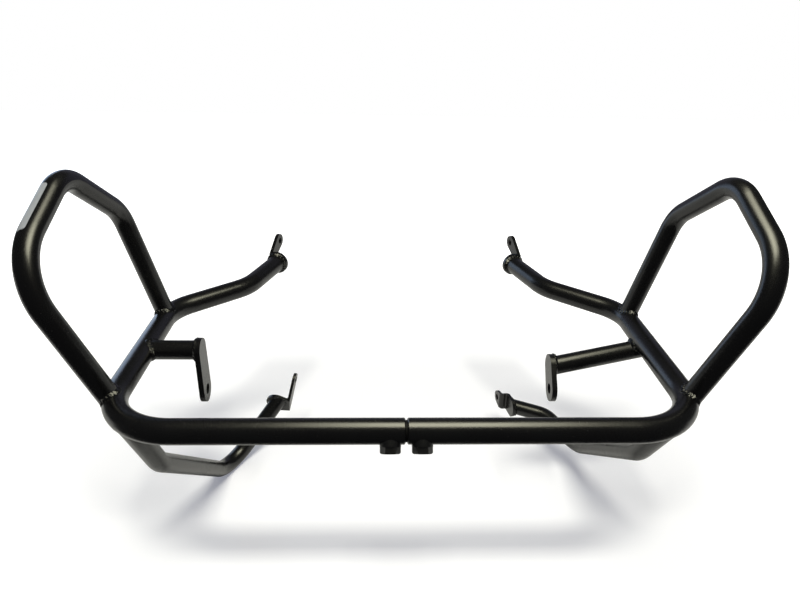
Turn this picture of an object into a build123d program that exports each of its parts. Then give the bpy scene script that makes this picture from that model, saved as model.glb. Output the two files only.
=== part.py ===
from build123d import *
from math import cos, radians, sin
import os

# Motorcycle crash bars in two welded halves, in millimetres.
# The origin lies on the engine bolt's axis, in the middle of the bike.
# +X is the rider's left, +Y the rear of the bike and +Z up.
# Lengths called out, ahead, back, up and down are taken from that origin,
# unless the name gives another place.

# Tube stock and welds
main_diameter = 25.0
main_wall = 2.0
loop_diameter = 22.0
loop_wall = 2.0
strut_diameter = 22.0
strut_wall = 2.0
lower_diameter = 22.0
lower_wall = 2.0
bead_leg = 3.0
cutter_reach = 22.0

# Main tube: half of the front bar, the side run and the arm to the rear bracket, all in one level plane
bar_ahead = 150.0
bar_up = 52.0
side_out = 290.0
side_back = 100.0
knee_out = 205.0
knee_back = 175.0
arm_out = 178.0
arm_back = 258.0
corner_bend = 70.0
side_bend = 60.0
knee_bend = 60.0

# Upper loop, with its heights above the main tube's plane and its spreads outside the side run
loop_foot_ahead = 100.0
loop_front_spread = 50.0
loop_front_ahead = 125.0
loop_front_rise = 150.0
loop_crown_spread = 45.0
loop_crown_ahead = 15.0
loop_crown_rise = 205.0
loop_rear_spread = 30.0
loop_rear_back = 70.0
loop_rear_rise = 140.0
loop_heel_back = 85.0
loop_front_bend = 65.0
loop_crown_bend = 40.0
loop_rear_bend = 40.0

# Joint in the middle of the front bar
joint_gap = 2.0
joint_chamfer = 1.0
spigot_length = 60.0
spigot_clearance = 0.15
bolt_offset = 15.0
bolt_tilt = 36.0
bolt_diameter = 10.0
bolt_flats = 17.0
bolt_head_height = 6.4
bolt_head_chamfer = 1.2
bolt_length = 20.0
bolt_clearance = 0.5
thread_clearance = 0.05
washer_diameter = 20.0
washer_thickness = 2.0

# Engine struts and the plates on the engine bolt
engine_hole = 12.5
engine_plate_thickness = 6.0
engine_plate_foot_radius = 15.0
engine_plate_head_radius = 14.0
right_plate_out = 225.0
left_plate_out = 177.0
left_strut_back = 16.0
left_strut_up = 22.0
left_strut_root_back = 27.0
left_strut_root_drop = 12.0

# Lower tubes, with their insets from the side run
right_lower_front_inset = 26.0
right_lower_front_ahead = 78.0
right_lower_front_down = 43.0
right_lower_low_inset = 45.0
right_lower_low_back = 112.0
right_lower_low_down = 216.0
right_lower_end_out = 177.0
right_lower_end_back = 172.0
right_lower_end_down = 138.0
right_lower_front_bend = 60.0
right_lower_low_bend = 45.0
left_lower_front_inset = 26.0
left_lower_front_ahead = 75.0
left_lower_front_down = 33.0
left_lower_low_inset = 32.0
left_lower_low_back = 92.0
left_lower_low_down = 157.0
left_lower_turn_out = 225.0
left_lower_turn_back = 152.0
left_lower_end_out = 179.0
left_lower_end_back = 176.0
left_lower_end_down = 148.0
left_lower_front_bend = 60.0
left_lower_low_bend = 45.0
left_lower_turn_bend = 35.0

# Brackets bent from sheet
sheet = 5.0
lower_sheet = 4.0
cap_diameter = 32.0
bracket_hole = 9.0
bracket_bend = 3.0
tab_radius = 10.0
rear_tab_offset = 9.0
rear_tab_root = 13.0
rear_hole_back = 28.0
rear_hole_rise = 25.0
right_base_diameter = 34.0
right_base_tilt = 20.0
right_base_yaw = 12.0
right_base_roll = 10.0
right_base_drop = 4.0
right_fold_out = 17.0
right_fold_height = 24.0
right_hole_back = 31.0
right_hole_rise = 22.0
left_base_yaw = 10.0
joggle_depth = 10.0
joggle_web_back = 15.0
joggle_hole_back = 27.0
joggle_height = 28.0
joggle_bend = 4.0

up = Vector(0, 0, 1)
os.makedirs("parts", exist_ok=True)


def bent_path(points, bends):
    with BuildLine() as path:
        FilletPolyline(*points, radius=bends)
    return path.wire()


def straight_path(start, end):
    with BuildLine() as path:
        Line(start, end)
    return path.wire()


def start_plane(path):
    return Plane(origin=path @ 0, z_dir=path % 0)


def end_plane(path):
    return Plane(origin=path @ 1, z_dir=path % 1)


def envelope(path, diameter):
    with BuildPart() as solid:
        with BuildSketch(start_plane(path)):
            Circle(diameter / 2)
        sweep(path=path)
    return solid.part


def past_seat(path, diameter):
    end = end_plane(path)
    return straight_path(end.origin - end.z_dir * diameter, end.origin + end.z_dir * diameter)


def corner_bead(carrier_path, carrier_diameter, branch_path, branch_diameter):
    carrier = envelope(carrier_path, carrier_diameter)
    branch = envelope(branch_path, branch_diameter)
    branch_skin = envelope(branch_path, branch_diameter + 2 * bead_leg)
    with BuildPart() as bead:
        with BuildSketch(start_plane(carrier_path)):
            Circle(carrier_diameter / 2 + bead_leg)
        sweep(path=carrier_path)
        add(branch_skin, mode=Mode.INTERSECT)
        add(carrier, mode=Mode.SUBTRACT)
        add(branch, mode=Mode.SUBTRACT)
    return bead.part


def seat_bead(path, diameter, seat):
    end = past_seat(path, diameter)
    tube = envelope(end, diameter)
    tube_skin = envelope(end, diameter + 2 * bead_leg)
    with BuildPart() as bead:
        with BuildSketch(seat):
            Circle(diameter)
        extrude(amount=-bead_leg)
        add(tube_skin, mode=Mode.INTERSECT)
        add(tube, mode=Mode.SUBTRACT)
    return bead.part


def save(part, name):
    part.label = name
    export_step(part, f"parts/{name}.step")


corner_inset = corner_bend * (1 - cos(radians(45)))
corner_out = side_out - corner_inset
corner_ahead = bar_ahead - corner_inset
main_radius = main_diameter / 2
bolt_seat = main_radius + washer_thickness


def main_route(side):
    points = [
        (side * joint_gap / 2, -bar_ahead, bar_up),
        (side * side_out, -bar_ahead, bar_up),
        (side * side_out, side_back, bar_up),
        (side * knee_out, knee_back, bar_up),
        (side * arm_out, arm_back, bar_up),
    ]
    return bent_path(points, [corner_bend, side_bend, knee_bend])


def loop_route(side):
    points = [
        (side * side_out, -loop_foot_ahead, bar_up),
        (side * (side_out + loop_front_spread), -loop_front_ahead, bar_up + loop_front_rise),
        (side * (side_out + loop_crown_spread), -loop_crown_ahead, bar_up + loop_crown_rise),
        (side * (side_out + loop_rear_spread), loop_rear_back, bar_up + loop_rear_rise),
        (side * side_out, loop_heel_back, bar_up),
    ]
    return bent_path(points, [loop_front_bend, loop_crown_bend, loop_rear_bend])


def main_tube(side, path):
    with BuildPart() as tube:
        with BuildSketch(start_plane(path)):
            Circle(main_radius)
            Circle(main_radius - main_wall, mode=Mode.SUBTRACT)
        sweep(path=path)
        joint_face = tube.faces().sort_by(lambda face: abs(face.center().X))[0]
        chamfer(joint_face.outer_wire().edges(), joint_chamfer)
        with BuildSketch(bolt_plane(side)):
            Circle(bolt_diameter / 2 + bolt_clearance)
        extrude(amount=main_diameter, mode=Mode.SUBTRACT)
    return tube.part


def upper_loop(path, carrier):
    with BuildPart() as tube:
        with BuildSketch(start_plane(path)):
            Circle(loop_diameter / 2)
            Circle(loop_diameter / 2 - loop_wall, mode=Mode.SUBTRACT)
        sweep(path=path)
        add(carrier, mode=Mode.SUBTRACT)
    return tube.part


def branch_tube(path, diameter, wall, carrier, seat):
    end = past_seat(path, diameter)
    with BuildPart() as tube:
        with BuildSketch(start_plane(path)):
            Circle(diameter / 2)
            Circle(diameter / 2 - wall, mode=Mode.SUBTRACT)
        sweep(path=path)
        with BuildSketch(start_plane(end)):
            Circle(diameter / 2)
            Circle(diameter / 2 - wall, mode=Mode.SUBTRACT)
        sweep(path=end)
        add(carrier, mode=Mode.SUBTRACT)
        with BuildSketch(seat):
            Circle(diameter + cutter_reach)
        extrude(amount=diameter + cutter_reach, mode=Mode.SUBTRACT)
    return tube.part


def engine_plate(inner_face, strut_back, strut_up):
    with BuildPart() as plate:
        with BuildSketch(Plane.YZ.offset(inner_face)):
            Circle(engine_plate_foot_radius)
            with Locations((strut_back, strut_up)):
                Circle(engine_plate_head_radius)
            make_hull()
            Circle(engine_hole / 2, mode=Mode.SUBTRACT)
        extrude(amount=engine_plate_thickness if inner_face > 0 else -engine_plate_thickness)
    return plate.part


def rear_bracket(side, seat):
    axis = seat.z_dir
    across = axis.cross(up)
    tab_seat = seat.origin + across * (side * rear_tab_offset - sheet / 2)
    with BuildPart() as bracket:
        with BuildSketch(seat):
            Circle(cap_diameter / 2)
        extrude(amount=sheet)
        with BuildSketch(Plane(origin=tab_seat, x_dir=axis, z_dir=across)):
            with Locations((sheet / 2, rear_tab_root / 2)):
                Rectangle(sheet, rear_tab_root)
            with Locations((rear_hole_back, rear_hole_rise)):
                Circle(tab_radius)
            make_hull()
            with Locations((rear_hole_back, rear_hole_rise)):
                Circle(bracket_hole / 2, mode=Mode.SUBTRACT)
        extrude(amount=sheet)
        inner_bend = seat.origin + axis * sheet + across * (side * (rear_tab_offset - sheet / 2))
        fillet(bracket.edges().filter_by(Axis.Z).sort_by_distance(inner_bend)[0], bracket_bend)
    return bracket.part


def right_lower_bracket(seat):
    tab_face = seat.origin + seat.x_dir * (right_fold_out - lower_sheet / 2)
    with BuildPart() as bracket:
        with BuildSketch(seat):
            with Locations((0, right_base_drop)):
                Circle(right_base_diameter / 2)
            with Locations((right_fold_out, right_base_drop)):
                Rectangle(lower_sheet, right_fold_height)
            make_hull()
        extrude(amount=lower_sheet)
        with BuildSketch(Plane(origin=tab_face, x_dir=seat.z_dir, z_dir=seat.x_dir)):
            with Locations((lower_sheet / 2, -right_base_drop)):
                Rectangle(lower_sheet, right_fold_height)
            with Locations((right_hole_back, right_hole_rise)):
                Circle(tab_radius)
            make_hull()
            with Locations((right_hole_back, right_hole_rise)):
                Circle(bracket_hole / 2, mode=Mode.SUBTRACT)
        extrude(amount=lower_sheet)
        fold_edges = bracket.edges().filter_by(Axis(seat.origin, seat.y_dir))
        inner_bend = tab_face + seat.z_dir * lower_sheet
        fillet(fold_edges.sort_by_distance(inner_bend)[0], bracket_bend)
    return bracket.part


def left_lower_bracket(seat):
    middle = lower_sheet / 2
    plan = [
        (-cap_diameter / 2, 0, middle),
        (joggle_web_back, 0, middle),
        (joggle_web_back, 0, middle + joggle_depth),
        (joggle_hole_back + tab_radius, 0, middle + joggle_depth),
    ]
    path = bent_path([seat.from_local_coords(point) for point in plan], [joggle_bend, joggle_bend])
    with BuildPart() as bracket:
        with BuildSketch(Plane(origin=path @ 0, x_dir=up, z_dir=path % 0)):
            Rectangle(joggle_height, lower_sheet)
        sweep(path=path)
        with BuildSketch(seat):
            Circle(cap_diameter / 2)
            with Locations((joggle_hole_back, 0)):
                Circle(tab_radius)
            make_hull()
            with Locations((joggle_hole_back, 0)):
                Circle(bracket_hole / 2, mode=Mode.SUBTRACT)
        extrude(amount=joggle_depth + lower_sheet, mode=Mode.INTERSECT)
    return bracket.part


def bolt_plane(side):
    tilt = radians(bolt_tilt)
    centre = (side * bolt_offset, -bar_ahead, bar_up)
    return Plane(origin=centre, x_dir=(1, 0, 0), z_dir=(0, -sin(tilt), -cos(tilt)))


def bolt_crown(seat):
    with BuildPart() as crown:
        with BuildSketch(seat):
            Circle(bolt_flats / 2 / cos(radians(30)))
        extrude(amount=bolt_head_height)
        outer_face = crown.faces().sort_by(Axis(seat.origin, seat.z_dir))[-1]
        chamfer(outer_face.edges(), bolt_head_chamfer)
    return crown.part


def joint_bolt(side):
    seat = bolt_plane(side).offset(bolt_seat)
    with BuildPart() as bolt:
        with BuildSketch(seat):
            RegularPolygon(bolt_flats / 2, 6, major_radius=False)
        extrude(amount=bolt_head_height)
        add(bolt_crown(seat), mode=Mode.INTERSECT)
        with BuildSketch(seat):
            Circle(bolt_diameter / 2)
        extrude(amount=-bolt_length)
    return bolt.part


def joint_washer(side, carrier):
    with BuildPart() as washer:
        with BuildSketch(bolt_plane(side)):
            Circle(washer_diameter / 2)
            Circle(bolt_diameter / 2 + bolt_clearance, mode=Mode.SUBTRACT)
        extrude(amount=bolt_seat)
        add(carrier, mode=Mode.SUBTRACT)
    return washer.part


def joint_spigot():
    with BuildPart() as spigot:
        with BuildSketch(Plane.YZ.offset(-spigot_length / 2)):
            with Locations((-bar_ahead, bar_up)):
                Circle(main_radius - main_wall - spigot_clearance)
        extrude(amount=spigot_length)
        for side in sides.values():
            with BuildSketch(bolt_plane(side).offset(bolt_seat)):
                Circle(bolt_diameter / 2 + thread_clearance)
            extrude(amount=-bolt_length, mode=Mode.SUBTRACT)
    return spigot.part


def strut_route(side, plate_out, strut_back, strut_up, root_back, root_up):
    plate_face = plate_out + engine_plate_thickness
    return straight_path((side * side_out, root_back, root_up), (side * plate_face, strut_back, strut_up))


def lower_route(name):
    side = sides[name]
    start = (side * corner_out, -corner_ahead, bar_up)
    if name == "right":
        points = [
            start,
            (side * (side_out - right_lower_front_inset), -right_lower_front_ahead, -right_lower_front_down),
            (side * (side_out - right_lower_low_inset), right_lower_low_back, -right_lower_low_down),
            (side * right_lower_end_out, right_lower_end_back, -right_lower_end_down),
        ]
        return bent_path(points, [right_lower_front_bend, right_lower_low_bend])
    points = [
        start,
        (side * (side_out - left_lower_front_inset), -left_lower_front_ahead, -left_lower_front_down),
        (side * (side_out - left_lower_low_inset), left_lower_low_back, -left_lower_low_down),
        (side * left_lower_turn_out, left_lower_turn_back, -left_lower_end_down),
        (side * left_lower_end_out, left_lower_end_back, -left_lower_end_down),
    ]
    return bent_path(points, [left_lower_front_bend, left_lower_low_bend, left_lower_turn_bend])


def right_lower_seat(path):
    level = Plane(origin=path @ 1, x_dir=(1, 0, 0), z_dir=(0, 1, 0))
    tilted = level.rotated((0, right_base_roll, 0)).rotated((right_base_tilt, 0, 0))
    return tilted.rotated((0, 0, -right_base_yaw))


def left_lower_seat(path):
    level = Plane(origin=path @ 1, x_dir=(0, 1, 0), z_dir=(-1, 0, 0))
    return level.rotated((0, 0, left_base_yaw))


def strut_seat(path, side):
    return Plane(origin=path @ 1, x_dir=(0, 1, 0), z_dir=(-side, 0, 0))


sides = {"right": -1, "left": 1}
plate_outs = {"right": right_plate_out, "left": left_plate_out}
strut_ends = {"right": (0, bar_up), "left": (left_strut_back, left_strut_up)}
strut_roots = {"right": (0, bar_up), "left": (left_strut_root_back, bar_up - left_strut_root_drop)}
lower_seats = {"right": right_lower_seat, "left": left_lower_seat}
lower_brackets = {"right": right_lower_bracket, "left": left_lower_bracket}

for name, side in sides.items():
    main_path = main_route(side)
    loop_path = loop_route(side)
    strut_path = strut_route(side, plate_outs[name], *strut_ends[name], *strut_roots[name])
    lower_path = lower_route(name)
    main_solid = envelope(main_path, main_diameter)
    arm_seat = end_plane(main_path)
    plate_seat = strut_seat(strut_path, side)
    lower_seat = lower_seats[name](lower_path)

    save(main_tube(side, main_path), f"{name}_main_tube")
    save(upper_loop(loop_path, main_solid), f"{name}_upper_loop")
    save(branch_tube(strut_path, strut_diameter, strut_wall, main_solid, plate_seat), f"{name}_engine_strut")
    save(engine_plate(side * plate_outs[name], *strut_ends[name]), f"{name}_engine_plate")
    save(branch_tube(lower_path, lower_diameter, lower_wall, main_solid, lower_seat), f"{name}_lower_tube")
    save(lower_brackets[name](lower_seat), f"{name}_lower_bracket")
    save(rear_bracket(side, arm_seat), f"{name}_rear_bracket")
    save(joint_bolt(side), f"{name}_joint_bolt")
    save(joint_washer(side, main_solid), f"{name}_joint_washer")

    beads = [
        corner_bead(main_path, main_diameter, loop_path, loop_diameter),
        corner_bead(main_path, main_diameter, strut_path, strut_diameter),
        corner_bead(main_path, main_diameter, lower_path, lower_diameter),
        seat_bead(main_path, main_diameter, arm_seat),
        seat_bead(strut_path, strut_diameter, plate_seat),
        seat_bead(lower_path, lower_diameter, lower_seat),
    ]
    with BuildPart() as weld_beads:
        add(beads)
    save(weld_beads.part, f"{name}_weld_beads")

save(joint_spigot(), "joint_spigot")
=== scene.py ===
# %% [markdown]
# # Motorcycle crash bars
# Two welded halves of bent steel tube meet in the middle of the front bar. The packed CAD model is loaded
# first and stays as it is: every node already lies where it belongs, in metres, so the lesson only adds
# finishes, the rippled weld beads, one plain reflective strip, the light and the camera.

# %% Load the frame
import math

import bmesh
import bpy
from mathutils import Matrix, Vector, noise
from mathutils.bvhtree import BVHTree


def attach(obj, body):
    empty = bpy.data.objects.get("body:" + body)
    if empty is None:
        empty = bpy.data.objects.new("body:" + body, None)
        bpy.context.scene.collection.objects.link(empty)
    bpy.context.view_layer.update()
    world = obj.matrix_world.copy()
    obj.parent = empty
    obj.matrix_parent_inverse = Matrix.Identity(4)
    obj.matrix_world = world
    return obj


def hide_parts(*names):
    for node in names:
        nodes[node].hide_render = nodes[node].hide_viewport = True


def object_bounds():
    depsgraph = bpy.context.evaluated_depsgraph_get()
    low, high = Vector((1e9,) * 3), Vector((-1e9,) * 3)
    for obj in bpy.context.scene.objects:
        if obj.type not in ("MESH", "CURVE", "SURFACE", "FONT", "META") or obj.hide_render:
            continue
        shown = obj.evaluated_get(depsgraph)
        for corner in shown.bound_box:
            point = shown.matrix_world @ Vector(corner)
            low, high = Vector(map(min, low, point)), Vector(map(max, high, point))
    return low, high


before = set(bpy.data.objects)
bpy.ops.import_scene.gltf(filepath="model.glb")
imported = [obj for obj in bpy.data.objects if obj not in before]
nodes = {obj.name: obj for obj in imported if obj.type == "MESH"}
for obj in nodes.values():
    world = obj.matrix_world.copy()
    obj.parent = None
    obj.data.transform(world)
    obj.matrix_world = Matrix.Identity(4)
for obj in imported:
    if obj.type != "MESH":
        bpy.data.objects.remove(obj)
cad_low, cad_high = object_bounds()
print("nodes", len(nodes), "box", cad_low[:], cad_high[:])

# %% [markdown]
# ## Camera
# The photograph looks down on the bars from the front, close enough for the near tubes to look much thicker
# than the far ones. A camera can be turned by eye until the picture fits. Here a pin-hole camera was fitted
# to the tubes' edges instead, which is exact, so its place, its three turns and its focal length are
# numbers. Blender's camera looks along its own -Z with +Y up, so its matrix takes the right, up and
# backward directions as columns.

# %% Camera
MM = 0.001
CAMERA_PLACE = Vector((-27.98, -642.24, 425.32)) * MM
CAMERA_YAW = math.radians(2.25)
CAMERA_PITCH = math.radians(25.70)
CAMERA_ROLL = math.radians(-1.25)
PHOTO_WIDTH = 800
FOCAL_PIXELS = 647
SENSOR_WIDTH = 36
NEAREST_SEEN = 0.01

forward = Vector((
    math.sin(CAMERA_YAW) * math.cos(CAMERA_PITCH),
    math.cos(CAMERA_YAW) * math.cos(CAMERA_PITCH),
    -math.sin(CAMERA_PITCH),
))
level = Vector((math.cos(CAMERA_YAW), -math.sin(CAMERA_YAW), 0))
plumb = forward.cross(level)
right = level * math.cos(CAMERA_ROLL) + plumb * math.sin(CAMERA_ROLL)
down = plumb * math.cos(CAMERA_ROLL) - level * math.sin(CAMERA_ROLL)

camera_data = bpy.data.cameras.new("camera")
camera_data.sensor_width = SENSOR_WIDTH
camera_data.lens = SENSOR_WIDTH * FOCAL_PIXELS / PHOTO_WIDTH
camera_data.clip_start = NEAREST_SEEN
camera = bpy.data.objects.new("camera", camera_data)
turn = Matrix((right, -down, -forward)).transposed().to_4x4()
camera.matrix_world = Matrix.Translation(CAMERA_PLACE) @ turn
bpy.context.scene.collection.objects.link(camera)
bpy.context.scene.camera = camera
print("camera lens", round(camera_data.lens, 2), "mm")

# %% [markdown]
# ## Shader maths in Python
# A finish is a small sum: a little noise on the roughness, a mask that lightens the colour. Nodes clicked
# together hide that sum, so one class wraps a socket and lets Python's operators add the Math nodes. Every
# other node comes from its one method, which sets the node's own settings first and its sockets after.

# %% Sockets with operators
class Value:
    """A socket of a node tree that Python's operators work on."""

    def __init__(self, tree, socket=None):
        self.tree = tree
        self.socket = socket

    def node(self, kind, settings=None, inputs=None, output=0):
        """A new node, with its settings and inputs, as the Value of one of its outputs."""
        made = self.tree.nodes.new(kind)
        for name, setting in (settings or {}).items():
            setattr(made, name, setting)
        for name, value in (inputs or {}).items():
            if isinstance(value, Value):
                self.tree.links.new(value.socket, made.inputs[name])
            else:
                made.inputs[name].default_value = value
        return Value(self.tree, made.outputs[output] if made.outputs else None)

    def beside(self, output):
        """Another output of the node that this value comes from."""
        return Value(self.tree, self.socket.node.outputs[output])

    def maths(self, operation, first, second):
        return self.node("ShaderNodeMath", {"operation": operation}, {0: first, 1: second})

    def __add__(self, other):
        return self.maths("ADD", self, other)

    def __radd__(self, other):
        return self.maths("ADD", other, self)

    def __sub__(self, other):
        return self.maths("SUBTRACT", self, other)

    def __rsub__(self, other):
        return self.maths("SUBTRACT", other, self)

    def __mul__(self, other):
        return self.maths("MULTIPLY", self, other)

    def __rmul__(self, other):
        return self.maths("MULTIPLY", other, self)

    def ramp(self, low, high):
        """0 below low, 1 above high, smooth between."""
        return self.node(
            "ShaderNodeMapRange",
            {"interpolation_type": "SMOOTHSTEP"},
            {"Value": self, "From Min": low, "From Max": high},
        )

    def mix(self, first, second):
        """A colour that goes from first to second as this value goes from 0 to 1."""
        return self.node(
            "ShaderNodeMix",
            {"data_type": "RGBA"},
            {0: self, 6: first, 7: second},
            output=2,
        )


def grey(level):
    return (level, level, level, 1)


def cloud(place, grains_per_metre, detail=2.0):
    return place.node(
        "ShaderNodeTexNoise", {}, {"Vector": place, "Scale": grains_per_metre, "Detail": detail}
    )


def finish(name, recipe):
    """A material whose recipe turns a place on the piece into the inputs of its surface."""
    material = bpy.data.materials.new(name)
    material.use_nodes = True
    material.node_tree.nodes.clear()
    place = Value(material.node_tree).node("ShaderNodeTexCoord", output="Object")
    surface = place.node("ShaderNodeBsdfPrincipled", {}, recipe(place))
    place.node("ShaderNodeOutputMaterial", {}, {"Surface": surface})
    return material


print("operators", [name for name in vars(Value) if name.startswith("__")])

# %% [markdown]
# ## Powder coat
# The tubes and plates are powder coated in satin black. The powder melts into a skin that is smooth from a
# distance and has a faint orange peel close up, about a millimetre across. One flat black would do from far
# away, but black paint shows mostly what it mirrors, so the roughness matters more than the colour. Bump
# gives the peel, slow noise makes the gloss and the black vary a little from place to place, and sparse
# pale specks are dust. The sizes are in grains per metre.

# %% Powder coat
DEEP_BLACK = (0.0022, 0.0022, 0.0024, 1)
WORN_BLACK = (0.0045, 0.0044, 0.0042, 1)
DUST_GREY = (0.030, 0.029, 0.027, 1)
COAT_PATCHES = 18
COAT_PEEL = 850
COAT_GRAIN = 3200
COAT_DUST = 160
PEEL_DEPTH = 0.4 * MM


def satin_coat(roughness, relief):
    """A coat of this mean roughness, with its orange peel at this strength."""

    def recipe(place):
        patches = cloud(place, COAT_PATCHES)
        peel = cloud(place, COAT_PEEL, 1.0)
        grain = cloud(place, COAT_GRAIN, 1.0)
        cells = place.node("ShaderNodeTexVoronoi", {}, {"Vector": place, "Scale": COAT_DUST}, "Distance")
        dust = 1 - cells.ramp(0.05, 0.085)
        black = patches.mix(DEEP_BLACK, WORN_BLACK)
        skin = {"Strength": relief, "Distance": PEEL_DEPTH, "Height": peel + grain * 0.15}
        return {
            "Base Color": (dust * 0.45).mix(black, DUST_GREY),
            "Roughness": patches * 0.08 + grain * 0.05 + dust * 0.2 + (roughness - 0.065),
            "Normal": place.node("ShaderNodeBump", {}, skin),
        }

    return recipe


finishes = {"satin_black_coat": finish("satin_black_coat", satin_coat(0.27, 0.12))}
print("powder coat made")

# %% [markdown]
# ## Fasteners and spigot
# The joint bolts and washers are blackened and oiled, finer in grain than the powder coat. The spigot
# inside the bar only shows in the joint's groove. A metal shader would shine there, so it is dull steel
# that hardly mirrors, and the groove stays dark. One recipe serves both. Every CAD slot then gets its
# finish by name.

# %% Fasteners and spigot
METAL_PATCHES = 120
METAL_GRAIN = 2600
METAL_DEPTH = 0.2 * MM


def dark_metal(dark, light, mirror, roughness):
    """Blackened metal between two colours, with this strength of mirror and this mean roughness."""

    def recipe(place):
        patches = cloud(place, METAL_PATCHES)
        grain = cloud(place, METAL_GRAIN, 3.0)
        skin = {"Strength": 0.1, "Distance": METAL_DEPTH, "Height": grain}
        return {
            "Base Color": patches.mix(dark, light),
            "Roughness": grain * 0.16 + patches * 0.08 + (roughness - 0.12),
            "Specular IOR Level": mirror,
            "Normal": place.node("ShaderNodeBump", {}, skin),
        }

    return recipe


finishes["black_fastener"] = finish("black_fastener", dark_metal(grey(0.003), grey(0.006), 0.5, 0.32))
finishes["spigot_steel"] = finish("spigot_steel", dark_metal(grey(0.002), grey(0.004), 0.1, 0.60))
for name, node in nodes.items():
    for material_slot in node.material_slots:
        material_slot.material = finishes[material_slot.name.split(".")[0]]
print("finishes", {name: node.material_slots[0].material.name for name, node in nodes.items()})

# %% [markdown]
# ## Weld beads
# Every branch is held by a fillet weld, laid as a row of small overlapping puddles. The CAD beads have the
# right place and leg but no ripples. Bump could paint ripples on them, but then the outline of a bead would
# stay smooth, so each is made again as a mesh. First comes the list of the welds, with the axis of each
# branch in millimetres, as in the CAD model.

# %% Where the branches end
TUBE_RADIUS = 11 * MM
ARM_RADIUS = 12.5 * MM
SIDE_OUT = 290
CORNER_OUT = 269.5
CORNER_AHEAD = 129.5
BAR_UP = 52


def weld_lines(name, side):
    """Each weld: what carries the branch, two points of the branch's axis towards the joint, its radius."""
    main, plate = f"{name}_main_tube", f"{name}_engine_plate"
    loop_front, loop_foot = (side * 340, -125, 202), (side * SIDE_OUT, -100, BAR_UP)
    loop_rear, loop_heel = (side * 320, 70, 192), (side * SIDE_OUT, 85, BAR_UP)
    corner = (side * CORNER_OUT, -CORNER_AHEAD, BAR_UP)
    if name == "right":
        strut = ((-231, 0, BAR_UP), (-SIDE_OUT, 0, BAR_UP))
        lower_front = (-264, -78, -43)
        lower_end = ((-245, 112, -216), (-177, 172, -138))
    else:
        strut = ((183, 16, 22), (SIDE_OUT, 27, 40))
        lower_front = (264, -75, -33)
        lower_end = ((225, 152, -148), (179, 176, -148))
    return [
        (main, loop_front, loop_foot, TUBE_RADIUS),
        (main, loop_rear, loop_heel, TUBE_RADIUS),
        (main, strut[0], strut[1], TUBE_RADIUS),
        (plate, strut[1], strut[0], TUBE_RADIUS),
        (main, lower_front, corner, TUBE_RADIUS),
        (f"{name}_lower_bracket", lower_end[0], lower_end[1], TUBE_RADIUS),
        (f"{name}_rear_bracket", (side * 205, 175, BAR_UP), (side * 178, 258, BAR_UP), ARM_RADIUS),
    ]


skins = {}


def skin_of(name):
    """The node's skin as a tree that rays can be cast at, built once."""
    if name not in skins:
        mesh = nodes[name].data
        skins[name] = BVHTree.FromPolygons(
            [vertex.co for vertex in mesh.vertices], [face.vertices[:] for face in mesh.polygons]
        )
    return skins[name]


print("welds a side", len(weld_lines("right", -1)))

# %% [markdown]
# The toe of a weld is the line where a branch meets the piece that carries it. It could be taken from the
# CAD bead's edges, but a mesh keeps no edge loops by name. So rays run along the branch's skin, all round
# it, and each stops where it meets the carrier. Where a branch overhangs its carrier the rays find nothing,
# and the weld stays open there.

# %% Toe of a weld
TOE_STEPS = 240
RUN_UP = 30 * MM
OVERRUN = 12 * MM
WIDEST_GAP = 4 * MM


def weld_toe(carrier, start, end, radius):
    """The branch's direction, the points where its skin meets the carrier, and whether they close a ring.

    Each point comes with the branch's and the carrier's normal. A branch that overhangs its carrier leaves a
    gap, and the points then start behind it.
    """
    start, end = Vector(start) * MM, Vector(end) * MM
    along = (end - start).normalized()
    across = along.orthogonal().normalized()
    toe = []
    for step in range(TOE_STEPS):
        turn = Matrix.Rotation(2 * math.pi * step / TOE_STEPS, 3, along)
        outward = turn @ across
        origin = end - along * RUN_UP + outward * radius
        hit, normal, _, _ = skin_of(carrier).ray_cast(origin, along, RUN_UP + OVERRUN)
        if hit is not None:
            toe.append((hit, outward, normal if normal.dot(along) < 0 else -normal))
    gaps = [(toe[step][0] - toe[step - 1][0]).length for step in range(len(toe))]
    first = gaps.index(max(gaps))
    return along, toe[first:] + toe[:first], max(gaps) < WIDEST_GAP


for weld in weld_lines("right", -1) + weld_lines("left", 1):
    _, toe, closed = weld_toe(*weld)
    print(weld[0], "toe points", len(toe), "closed" if closed else "open")

# %% [markdown]
# A small convex section is carried along the toe. Its height rises and falls once a puddle, and the middle
# of the section runs a little ahead of its edges, which gives the ripples their crescent form. Slow noise
# lets the width wander, as a hand-laid bead does.

# %% Rippled bead
BEAD_LEG = 3.2 * MM
PUDDLE = 3.6 * MM
PUDDLE_RISE = 0.80
SECTION_STEPS = 8
SINK = 0.25 * MM
RUN_OUT = 4 * MM
CRESCENT = 0.42
FLATNESS = 0.72
WANDERS_PER_METRE = 180


def puddle_height(phase):
    """One puddle: a quick rise at its edge, then a slow fall towards the next."""
    share = phase % 1
    rise = min(share / 0.22, 1)
    return rise * rise * (3 - 2 * rise) * (1 - 0.75 * share)


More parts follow.
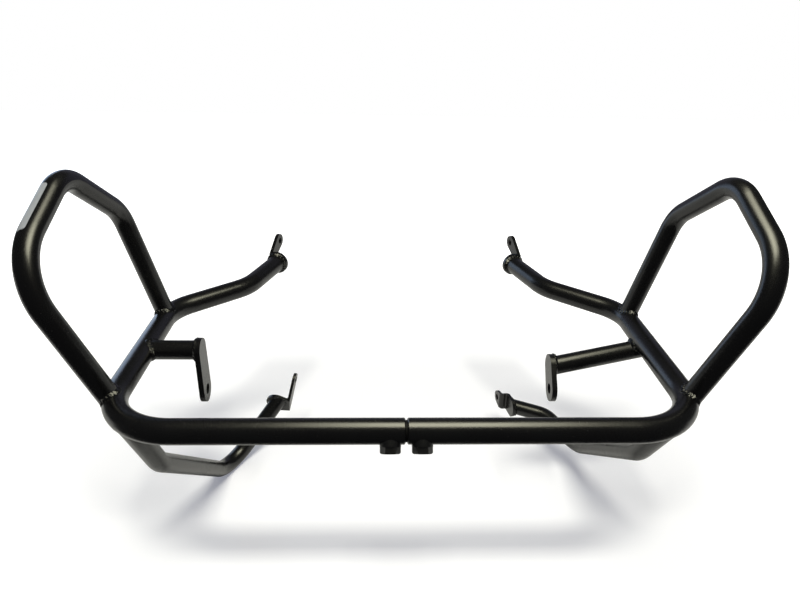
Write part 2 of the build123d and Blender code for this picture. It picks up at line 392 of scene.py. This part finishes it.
def add_bead(mesh, along, toe, closed, seed):
    """A bead along the toe. An open bead thins out towards both ends."""
    count = len(toe)
    travel = [0.0]
    for step in range(count):
        travel.append(travel[-1] + (toe[(step + 1) % count][0] - toe[step][0]).length)
    puddles = round(travel[-1] / PUDDLE)
    rings = []
    for step, (point, outward, normal) in enumerate(toe):
        away = (outward - normal * outward.dot(normal)).normalized()
        phase = puddles * travel[step] / travel[-1]
        wander = noise.noise(point * WANDERS_PER_METRE + Vector((seed, 0, 0)))
        to_end = min(travel[step], travel[count - 1] - travel[step])
        leg = BEAD_LEG * (1 + 0.10 * wander) * (1 if closed else min(0.3 + to_end / RUN_OUT, 1))
        ring = [mesh.verts.new(point - (outward + normal) * SINK * 2)]
        for place in range(SECTION_STEPS + 1):
            share = place / SECTION_STEPS
            bow = math.sin(math.pi * share)
            crescent = phase + CRESCENT * bow + 0.12 * wander
            swell = 1 + PUDDLE_RISE * (puddle_height(crescent) - 0.4) * (0.35 + 0.65 * bow)
            turn = share * math.pi / 2
            edge = -along * math.cos(turn) + away * math.sin(turn)
            flat = -along * (1 - share) + away * share
            reach = (flat * FLATNESS + edge * (1 - FLATNESS)) * leg * swell
            ring.append(mesh.verts.new(point + reach - (outward * (1 - share) + normal * share) * SINK))
        rings.append(ring)
    for step in range(count if closed else count - 1):
        here, there = rings[step], rings[(step + 1) % count]
        for place in range(len(here)):
            follow = (place + 1) % len(here)
            face = mesh.faces.new((here[place], there[place], there[follow], here[follow]))
            face.smooth = True
    if not closed:
        mesh.faces.new(rings[0])
        mesh.faces.new(rings[-1])


print("bead leg", BEAD_LEG, "puddle", PUDDLE)

# %% [markdown]
# The beads are coated with the tubes, but the powder runs thin over the ripples. It comes out glossier and
# lumpier there, which is why the welds glint in small spots.

# %% Beads of both halves
finishes["bead_coat"] = finish("bead_coat", satin_coat(0.18, 0.60))


def add_piece(name, mesh, look):
    """A finished mesh as an object that rides on the root."""
    bmesh.ops.recalc_face_normals(mesh, faces=mesh.faces)
    data = bpy.data.meshes.new(name)
    mesh.to_mesh(data)
    mesh.free()
    data.materials.append(finishes[look])
    piece = bpy.data.objects.new(name, data)
    bpy.context.scene.collection.objects.link(piece)
    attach(piece, "root")
    print(name, "faces", len(data.polygons))
    return piece


for name, side in (("right", -1), ("left", 1)):
    mesh = bmesh.new()
    for seed, weld in enumerate(weld_lines(name, side)):
        add_bead(mesh, *weld_toe(*weld), seed * 7 + side)
    beads = add_piece(f"{name}_rippled_beads", mesh, "bead_coat")
    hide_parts(f"{name}_weld_beads")

# %% [markdown]
# ## Reflective strip
# A strip of silver film lies on the outer side of the right loop, on the run between its two front bends.
# It is plain, with rounded corners. A mask in the coat could paint it, but a piece of its own keeps a crisp
# edge. Rays from outside find the tube's skin, and the thin film lies just above it.

# %% Reflective strip
STRIP_START = 38 * MM
STRIP_LENGTH = 62 * MM
STRIP_CORNER = 5 * MM
STRIP_LIFT = 0.03 * MM
STRIP_TURNS = (math.radians(-48), math.radians(58))
STRIP_GRID = (48, 60)


def silver_film(place):
    grain = cloud(place, 1500, 2.0)
    return {
        "Base Color": grain.mix((0.36, 0.38, 0.38, 1), (0.48, 0.49, 0.48, 1)),
        "Roughness": grain * 0.1 + 0.33,
        "Metallic": 0.3,
    }


finishes["silver_film"] = finish("silver_film", silver_film)
run_start, run_end = Vector((-340, -125, 202)) * MM, Vector((-335, -15, 257)) * MM
run = (run_end - run_start).normalized()
outer_side = Vector((-0.796, -0.241, 0.555))
strip_rows = []
strip = bmesh.new()
for row in range(STRIP_GRID[0] + 1):
    share = row / STRIP_GRID[0]
    to_end = min(share, 1 - share) * STRIP_LENGTH
    inward = max(STRIP_CORNER - to_end, 0)
    narrowing = STRIP_CORNER - math.sqrt(STRIP_CORNER ** 2 - inward ** 2)
    centre = run_start + run * (STRIP_START + share * STRIP_LENGTH)
    low_turn = STRIP_TURNS[0] + narrowing / TUBE_RADIUS
    high_turn = STRIP_TURNS[1] - narrowing / TUBE_RADIUS
    points = []
    for column in range(STRIP_GRID[1] + 1):
        turn = low_turn + (high_turn - low_turn) * column / STRIP_GRID[1]
        outward = Matrix.Rotation(turn, 3, run) @ outer_side
        hit = skin_of("right_upper_loop").ray_cast(centre + outward * RUN_UP, -outward)[0]
        points.append(strip.verts.new(hit + outward * STRIP_LIFT))
    strip_rows.append(points)
for row in range(STRIP_GRID[0]):
    for column in range(STRIP_GRID[1]):
        here, there = strip_rows[row], strip_rows[row + 1]
        strip.faces.new((here[column], here[column + 1], there[column + 1], there[column])).smooth = True
add_piece("reflective_strip", strip, "silver_film")

# %% [markdown]
# ## Floor
# The bars stand on a plain white floor that melts into a white background. A bright floor alone would light
# the bars from below, so the white is mostly what the camera sees, and the black coat mirrors a dimmer
# grey. Away from the bars, and towards the front edge, the floor fades into white, so that its edges do not
# show.

# %% Floor
FLOOR_UP = cad_low.z - 0.0005
FLOOR_FRONT = -0.14
FLOOR_BACK = 3.0
FLOOR_HALF = 2.5
FLOOR_WHITE = (0.80, 0.79, 0.72, 1)
FLOOR_GLOW = (0.245, 0.25, 0.29, 1)
FAR_GLOW = grey(0.15)
FADE_FROM, FADE_TO = 0.35, 1.0
EDGE_FADE = 0.06

floor_data = bpy.data.meshes.new("floor")
floor_data.from_pydata(
    [
        (-FLOOR_HALF, FLOOR_FRONT, FLOOR_UP),
        (FLOOR_HALF, FLOOR_FRONT, FLOOR_UP),
        (FLOOR_HALF, FLOOR_BACK, FLOOR_UP),
        (-FLOOR_HALF, FLOOR_BACK, FLOOR_UP),
    ],
    [],
    [(0, 1, 2, 3)],
)
floor = bpy.data.objects.new("floor", floor_data)
bpy.context.scene.collection.objects.link(floor)

paper = bpy.data.materials.new("white_floor")
paper.use_nodes = True
paper.node_tree.nodes.clear()
camera_ray = Value(paper.node_tree).node("ShaderNodeLightPath", output="Is Camera Ray")
place = camera_ray.node("ShaderNodeNewGeometry", output="Position")
from_middle = place.node(
    "ShaderNodeVectorMath", {"operation": "DISTANCE"}, {0: place, 1: (0.0, 0.0, FLOOR_UP)}, "Value"
)
back = place.node("ShaderNodeSeparateXYZ", {}, {0: place}, "Y")
from_edge = back.ramp(FLOOR_FRONT, FLOOR_FRONT + EDGE_FADE)
near_glow = camera_ray.mix(grey(0.0), from_edge.mix(grey(1.0), FLOOR_GLOW))
far_glow = camera_ray.mix(FAR_GLOW, grey(1.0))
glow = from_middle.ramp(FADE_FROM, FADE_TO).mix(near_glow, far_glow)
matt = place.node("ShaderNodeBsdfDiffuse", {}, {"Color": FLOOR_WHITE})
shine = place.node("ShaderNodeEmission", {}, {"Color": glow})
lit = place.node("ShaderNodeAddShader", {}, {0: matt, 1: shine})
seen = camera_ray + camera_ray.beside("Is Glossy Ray") + camera_ray.beside("Is Transmission Ray")
shown = place.node("ShaderNodeMixShader", {}, {0: seen, 1: matt, 2: lit})
place.node("ShaderNodeOutputMaterial", {}, {"Surface": shown})
floor_data.materials.append(paper)
print("floor at", round(FLOOR_UP, 4))

# %% [markdown]
# ## Lamps
# On a black coat the light is drawn by what the tubes mirror, so each lamp is a flat panel given by the
# brightness that a mirror would see in it. One softbox would draw a stripe with hard ends on the tops of
# the tubes. Three hang overhead instead, one above the other, each higher one wider and longer, so that the
# stripe fades out. A bluish window behind on the left gives the cool edges, and a dim back wall lifts what
# faces it.
#
# Two lamps that show in no reflection light the floor: a ceiling, and a far lamp high in front that is wide
# across, so that the front bar's shadow is soft.

# %% Lamps
def panel(name, place, target, width, length, radiance, colour):
    """A flat lamp that faces its target, out of the picture. Its power is pi times area times radiance."""
    data = bpy.data.lights.new(name, "AREA")
    data.shape = "RECTANGLE"
    data.size = width
    data.size_y = length
    data.energy = math.pi * width * length * radiance
    data.color = colour
    facing = (Vector(target) - Vector(place)).normalized()
    across = Vector((1, 0, 0)) - facing * facing.x
    across.normalize()
    turn = Matrix((across, across.cross(facing), -facing)).transposed().to_4x4()
    lamp = bpy.data.objects.new(name, data)
    lamp.matrix_world = Matrix.Translation(place) @ turn
    lamp.visible_camera = False
    bpy.context.scene.collection.objects.link(lamp)
    return lamp


WARM = (1.0, 0.97, 0.74)
BLUE = (0.60, 0.76, 1.0)
VIOLET = (0.72, 0.72, 1.0)
WHITE = (1.0, 1.0, 1.0)
SOFTBOX_OUT = 0.105
SOFTBOX_FRONT = -0.41
SOFTBOXES = (
    {"up": 0.80, "width": 0.24, "length": 0.42, "radiance": 3.9},
    {"up": 0.81, "width": 0.42, "length": 0.50, "radiance": 4.5},
    {"up": 0.82, "width": 0.62, "length": 0.58, "radiance": 4.4},
)
for box in SOFTBOXES:
    middle = Vector((SOFTBOX_OUT, SOFTBOX_FRONT + box["length"] / 2, box["up"]))
    below = Vector((middle.x, middle.y, 0.0))
    softbox = panel("softbox", middle, below, box["width"], box["length"], box["radiance"], WARM)
    softbox.visible_diffuse = False
back_wall = panel("back_wall", (0.0, 3.0, 0.8), (0.0, 0.0, 0.3), 5.0, 2.0, 0.18, VIOLET)
back_wall.visible_diffuse = False
panel("window", (-1.65, 1.80, 0.50), (0.0, 0.0, 0.2), 0.9, 1.4, 1.9, BLUE)
ceiling = panel("ceiling", (0.0, 0.6, 2.2), (0.0, 0.6, 0.0), 3.0, 3.0, 0.55, WHITE)
ceiling.visible_glossy = False
shadow_lamp = panel("shadow_lamp", (0.0, -1.92, 4.0), (0.0, 0.0, 0.0), 1.6, 0.62, 60.0, WHITE)
shadow_lamp.visible_glossy = False

# %% [markdown]
# ## World
# The room around the bars is almost dark, which keeps the coat black. A white world would do for the
# picture's background, but every tube would mirror it, so only the camera sees the white.

# %% World
ROOM_COLOUR = (0.95, 0.97, 1.0, 1)
ROOM_LEVEL = 0.05

world = bpy.data.worlds.new("studio")
bpy.context.scene.world = world
world.use_nodes = True
world.node_tree.nodes.clear()
seen_by_camera = Value(world.node_tree).node("ShaderNodeLightPath", output="Is Camera Ray")
room = seen_by_camera.node("ShaderNodeBackground", {}, {"Color": ROOM_COLOUR, "Strength": ROOM_LEVEL})
backdrop = seen_by_camera.node("ShaderNodeBackground", {}, {"Color": grey(1.0), "Strength": 1.0})
sky = seen_by_camera.node("ShaderNodeMixShader", {}, {0: seen_by_camera, 1: room, 2: backdrop})
sky.node("ShaderNodeOutputWorld", {}, {"Surface": sky})
bpy.context.scene.view_settings.view_transform = "Standard"
print("world ready")

# %% [markdown]
